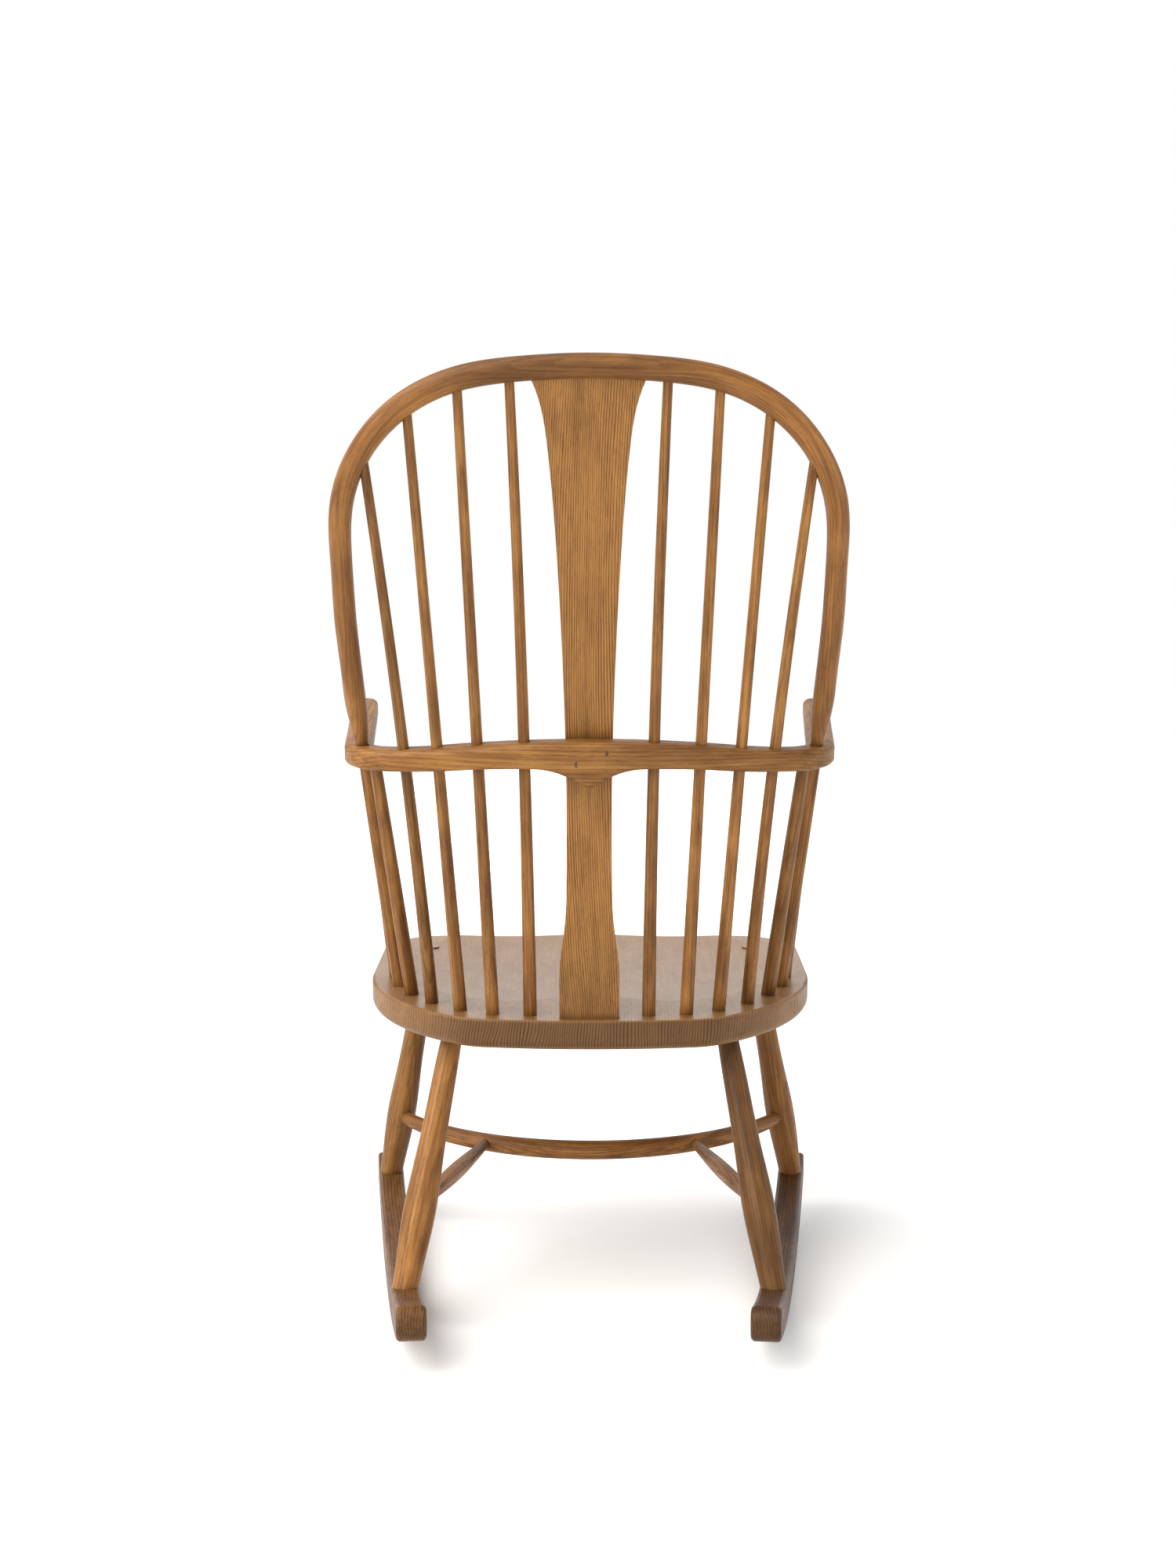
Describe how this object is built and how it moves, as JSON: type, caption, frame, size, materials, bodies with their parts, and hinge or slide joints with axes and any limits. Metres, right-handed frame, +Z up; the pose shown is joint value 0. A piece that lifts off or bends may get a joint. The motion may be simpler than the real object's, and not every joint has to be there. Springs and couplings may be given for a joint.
{
  "type": "rocking chair",
  "caption": "Wooden Windsor rocking chair: bent back bow and arm bow on turned spindles, shaped flat splat, saddled seat, turned legs, curved stretcher and two rockers.",
  "frame": {"origin": "bottom centre of the bounding box, on the floor under the rockers", "axes": "+Z up, the sitter faces -Y, the sitter's left hand is on +X; the back is on the +Y side"},
  "size_m": [0.5978, 0.741, 1.0801],
  "materials": {
    "arm_bow_wood": "satin lacquer over stained wood",
    "back_bow_wood": "satin lacquer over stained wood",
    "leg_wood": "satin lacquer over stained wood",
    "peg_wood": "satin lacquer over stained wood",
    "rocker_wood": "satin lacquer over stained wood",
    "seat_wood": "satin lacquer over stained wood",
    "spindle_wood": "satin lacquer over stained wood",
    "splat_wood": "satin lacquer over stained wood",
    "stretcher_wood": "satin lacquer over stained wood"
  },
  "bodies": {
    "root": {"arm_bow": "arm_bow_wood", "arm_spindle_left_1": "spindle_wood", "arm_spindle_left_2": "spindle_wood", "arm_spindle_left_3": "spindle_wood", "arm_spindle_right_1": "spindle_wood", "arm_spindle_right_2": "spindle_wood", "arm_spindle_right_3": "spindle_wood", "back_bow": "back_bow_wood", "back_spindle_left_1": "spindle_wood", "back_spindle_left_2": "spindle_wood", "back_spindle_left_3": "spindle_wood", "back_spindle_left_4": "spindle_wood", "back_spindle_right_1": "spindle_wood", "back_spindle_right_2": "spindle_wood", "back_spindle_right_3": "spindle_wood", "back_spindle_right_4": "spindle_wood", "crinoline_stretcher": "stretcher_wood", "leg_front_left": "leg_wood", "leg_front_right": "leg_wood", "leg_rear_left": "leg_wood", "leg_rear_right": "leg_wood", "leg_wedges": "peg_wood", "rocker_left": "rocker_wood", "rocker_right": "rocker_wood", "seat": "seat_wood", "splat": "splat_wood", "splat_pegs": "peg_wood", "stretcher_strut_left": "stretcher_wood", "stretcher_strut_right": "stretcher_wood"}
  },
  "joints": []
}
